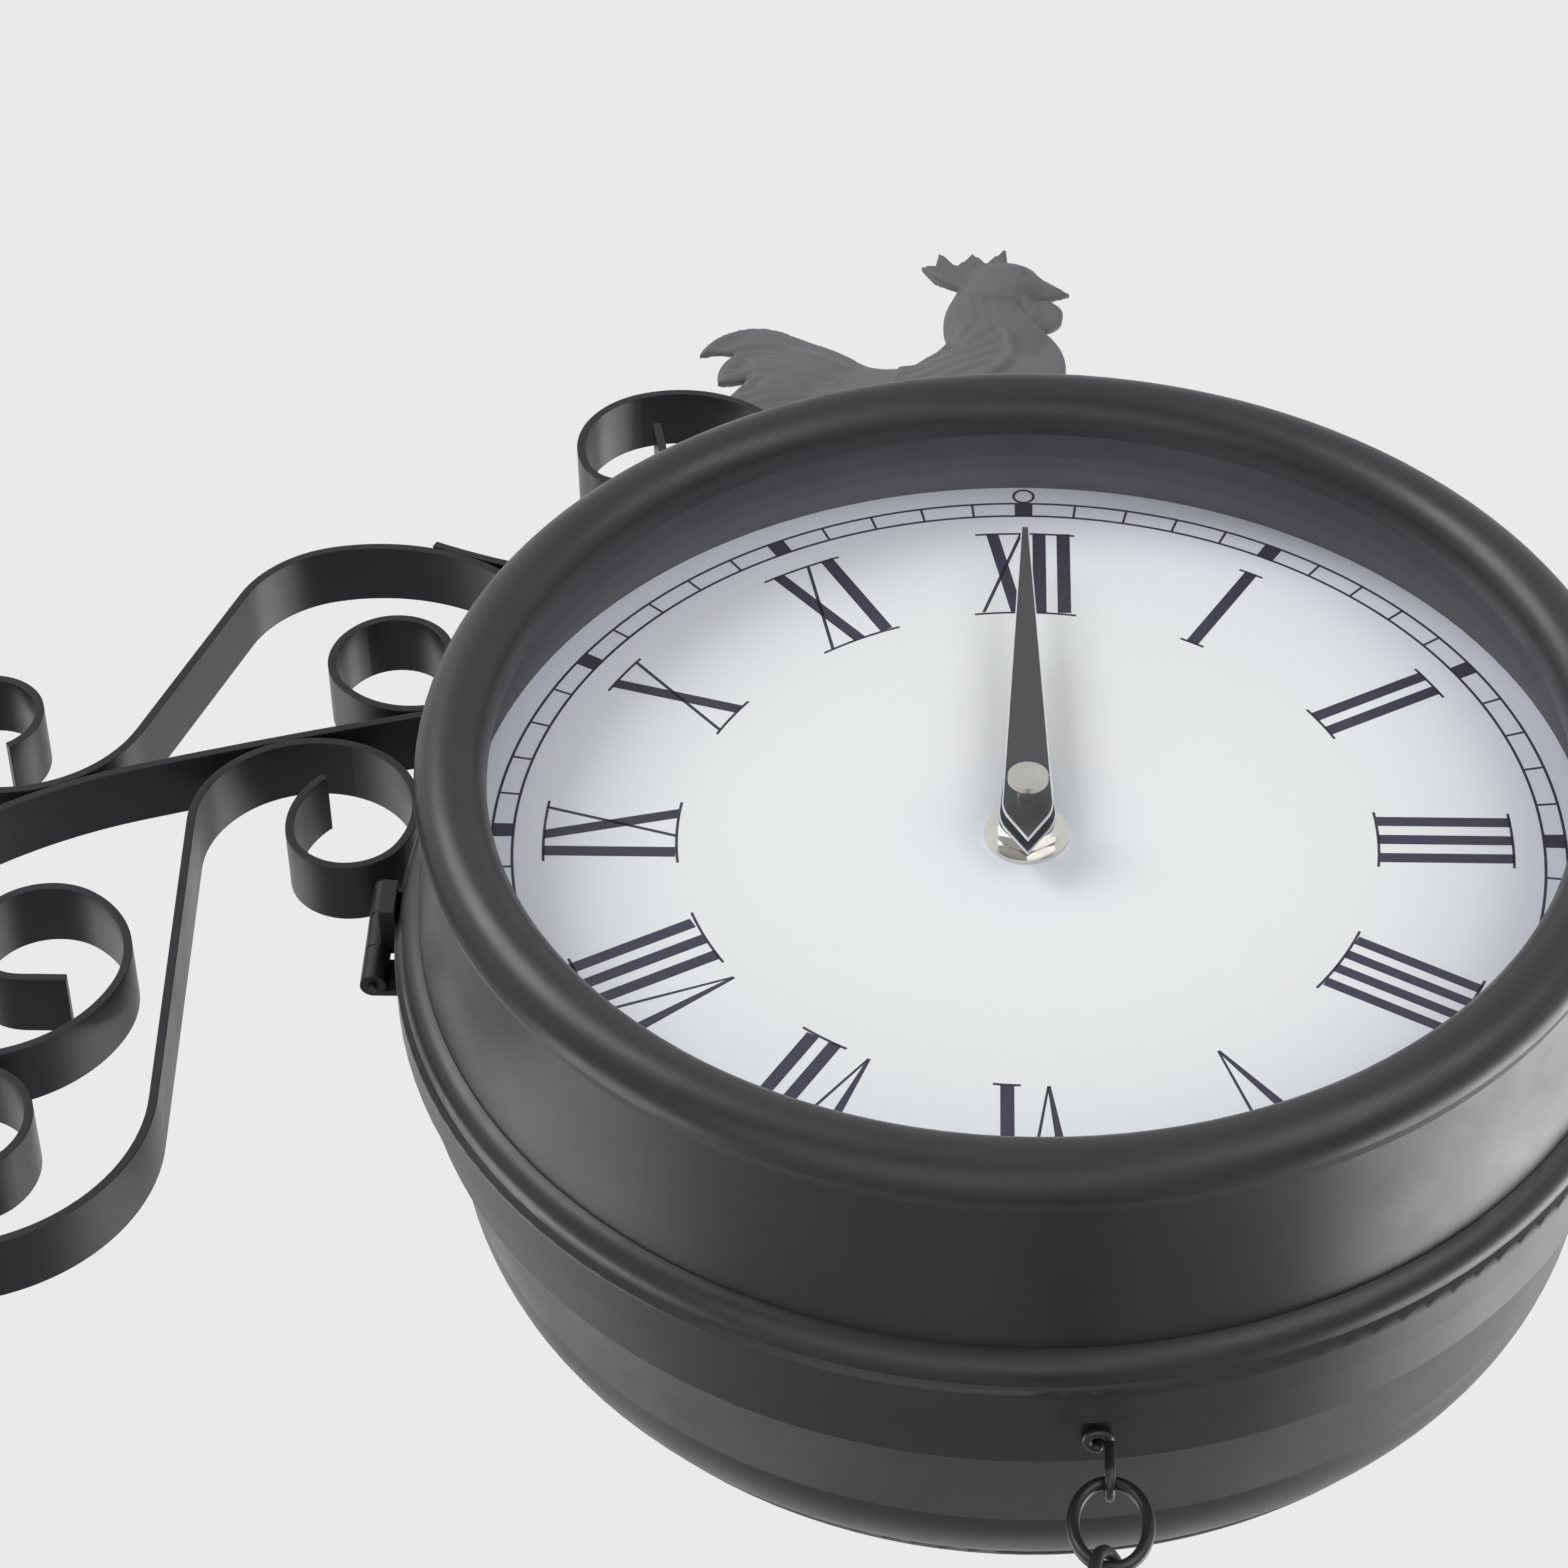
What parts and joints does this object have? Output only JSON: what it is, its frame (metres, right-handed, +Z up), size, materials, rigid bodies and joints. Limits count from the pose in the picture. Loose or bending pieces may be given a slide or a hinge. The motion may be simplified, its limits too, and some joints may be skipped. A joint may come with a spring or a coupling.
{
  "type": "double sided station clock",
  "caption": "Round two-faced wall clock in a sheet metal case on a scrolled strap bracket, with a hinged front, a cockerel on top and a bell on a chain.",
  "frame": {"origin": "middle of the wall plate's back, between its two screw holes", "axes": "+X out from the wall along the bracket, +Y from the front dial to the rear dial, +Z up"},
  "size_m": [0.3487, 0.0992, 0.4118],
  "materials": {
    "black_steel": "satin",
    "black_cast": "satin",
    "glass": "clear",
    "dial_white": "satin",
    "spacer_black": "matte",
    "movement_black": "matte",
    "battery": "gloss",
    "brass": "polished",
    "hand_black": "satin"
  },
  "bodies": {
    "bracket": {"wall_plate": "black_steel", "support_arm": "black_steel", "upper_scroll": "black_steel", "lower_scroll": "black_steel", "inner_scroll": "black_steel", "wall_scroll": "black_steel", "top_scroll": "black_steel", "case_hoop": "black_steel", "cockerel": "black_cast", "chain_hook": "black_steel", "rear_cover": "black_steel", "rear_glass": "glass", "rear_spacer": "spacer_black", "rear_dial": "dial_white", "rear_movement": "movement_black", "rear_battery": "battery", "rear_washer": "brass", "rear_nut": "brass", "hinge_case_leaf": "black_steel", "hinge_pin": "black_steel", "cover_clip": "black_steel"},
    "front_door": {"front_cover": "black_steel", "front_glass": "glass", "front_spacer": "spacer_black", "front_dial": "dial_white", "front_movement": "movement_black", "front_battery": "battery", "front_washer": "brass", "front_nut": "brass", "hinge_cover_leaf": "black_steel"},
    "front_minutes": {"front_minute_hand": "hand_black", "front_hand_cap": "brass"},
    "front_hours": {"front_hour_hand": "hand_black"},
    "front_setter": {"front_set_knob": "movement_black"},
    "rear_minutes": {"rear_minute_hand": "hand_black", "rear_hand_cap": "brass"},
    "rear_hours": {"rear_hour_hand": "hand_black"},
    "rear_setter": {"rear_set_knob": "movement_black"},
    "link_one": {"chain_link_1": "black_steel"},
    "link_two": {"chain_link_2": "black_steel"},
    "link_three": {"chain_link_3": "black_steel"},
    "bell": {"bell": "black_cast"},
    "clapper": {"bell_clapper": "black_cast"}
  },
  "joints": [
    {"name": "front_door_hinge", "type": "hinge", "parent": "bracket", "child": "front_door", "pos_m": [0.132, -0.006, 0.002], "axis": [0, 0, -1], "range_deg": [0, 90]},
    {"name": "front_minute_turn", "type": "hinge", "parent": "front_door", "child": "front_minutes", "pos_m": [0.2415, -0.037, 0.002], "axis": [0, 1, 0], "continuous": true},
    {"name": "front_hour_turn", "type": "hinge", "parent": "front_door", "child": "front_hours", "pos_m": [0.2415, -0.037, 0.002], "axis": [0, 1, 0], "continuous": true},
    {"name": "front_setter_turn", "type": "hinge", "parent": "front_door", "child": "front_setter", "pos_m": [0.2415, -0.012, 0.002], "axis": [0, 1, 0], "continuous": true},
    {"name": "rear_minute_turn", "type": "hinge", "parent": "bracket", "child": "rear_minutes", "pos_m": [0.2415, 0.0325, 0.002], "axis": [0, -1, 0], "continuous": true},
    {"name": "rear_hour_turn", "type": "hinge", "parent": "bracket", "child": "rear_hours", "pos_m": [0.2415, 0.0325, 0.002], "axis": [0, -1, 0], "continuous": true},
    {"name": "rear_setter_turn", "type": "hinge", "parent": "bracket", "child": "rear_setter", "pos_m": [0.2415, 0.0075, 0.002], "axis": [0, -1, 0], "continuous": true},
    {"name": "link_one_swing", "type": "hinge", "parent": "bracket", "child": "link_one", "pos_m": [0.25415, 0.0026, -0.10768], "axis": [1, 0, 0], "range_deg": [-35, 35]},
    {"name": "link_two_swing", "type": "hinge", "parent": "link_one", "child": "link_two", "pos_m": [0.25415, 0.0026, -0.12193], "axis": [0.5, 0.866, 0], "range_deg": [-35, 35]},
    {"name": "link_three_swing", "type": "hinge", "parent": "link_two", "child": "link_three", "pos_m": [0.25415, 0.0026, -0.13618], "axis": [-0.866, 0.5, 0], "range_deg": [-35, 35]},
    {"name": "bell_swing", "type": "hinge", "parent": "link_three", "child": "bell", "pos_m": [0.25415, 0.0026, -0.15048], "axis": [0.5, 0.866, 0], "range_deg": [-30, 30]},
    {"name": "clapper_swing", "type": "hinge", "parent": "bell", "child": "clapper", "pos_m": [0.25415, 0.0026, -0.16184], "axis": [-0.866, 0.5, 0], "range_deg": [-22, 22]}
  ],
  "couplings": [
    {"joint": "front_hour_turn", "follows": "front_minute_turn", "ratio": 0.083333},
    {"joint": "front_setter_turn", "follows": "front_minute_turn", "ratio": 1},
    {"joint": "rear_hour_turn", "follows": "rear_minute_turn", "ratio": 0.083333},
    {"joint": "rear_setter_turn", "follows": "rear_minute_turn", "ratio": 1}
  ]
}
